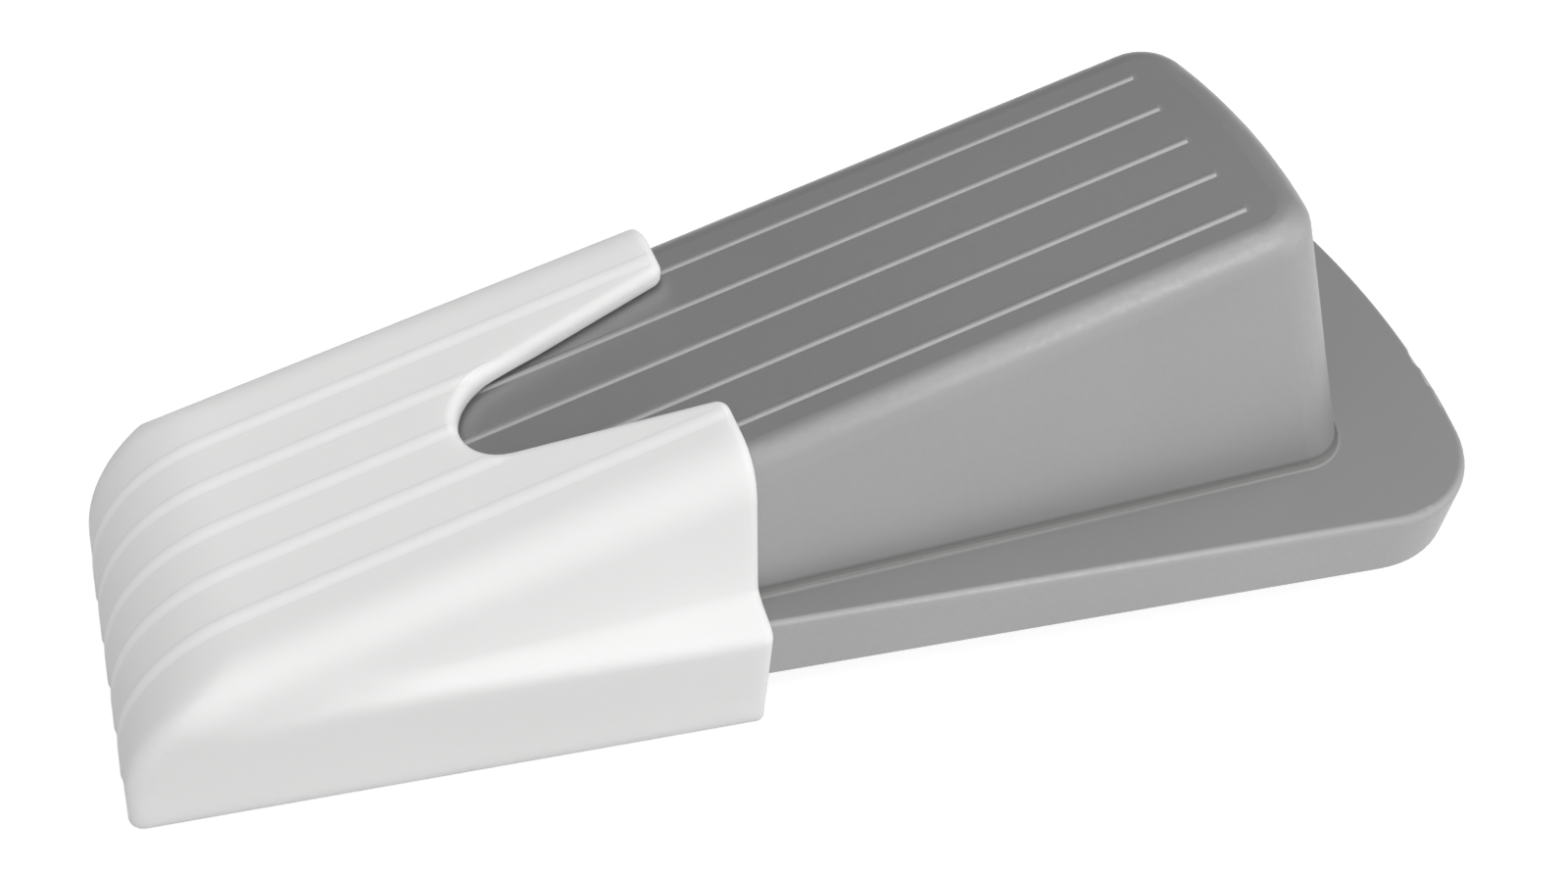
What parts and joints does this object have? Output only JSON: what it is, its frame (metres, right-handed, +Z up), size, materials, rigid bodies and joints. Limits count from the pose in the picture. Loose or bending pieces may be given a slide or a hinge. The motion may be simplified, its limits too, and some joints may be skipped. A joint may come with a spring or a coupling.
{
  "type": "rubber door wedge with adhesive holder",
  "caption": "Ribbed rubber door wedge with a wide flat foot, kept nose first in a moulded plastic pocket that sticks to a door or skirting.",
  "frame": {"origin": "under the middle of the whole object's bounding box, on the lower face of the release liner", "axes": "+X from the wedge's thin nose in the holder to its thick heel, +Y across to the far side, +Z up, square to the sole and away from the adhesive face"},
  "size_m": [0.1234, 0.0564, 0.0353],
  "materials": {
    "grey_rubber": "satin moulded rubber",
    "white_plastic": "smooth satin white plastic",
    "adhesive_foam": "double-sided foam tape",
    "liner_paper": "waxed release paper"
  },
  "bodies": {
    "root": {"door_wedge": "grey_rubber", "holder": "white_plastic", "adhesive_pad": "adhesive_foam", "release_liner": "liner_paper"}
  },
  "joints": []
}
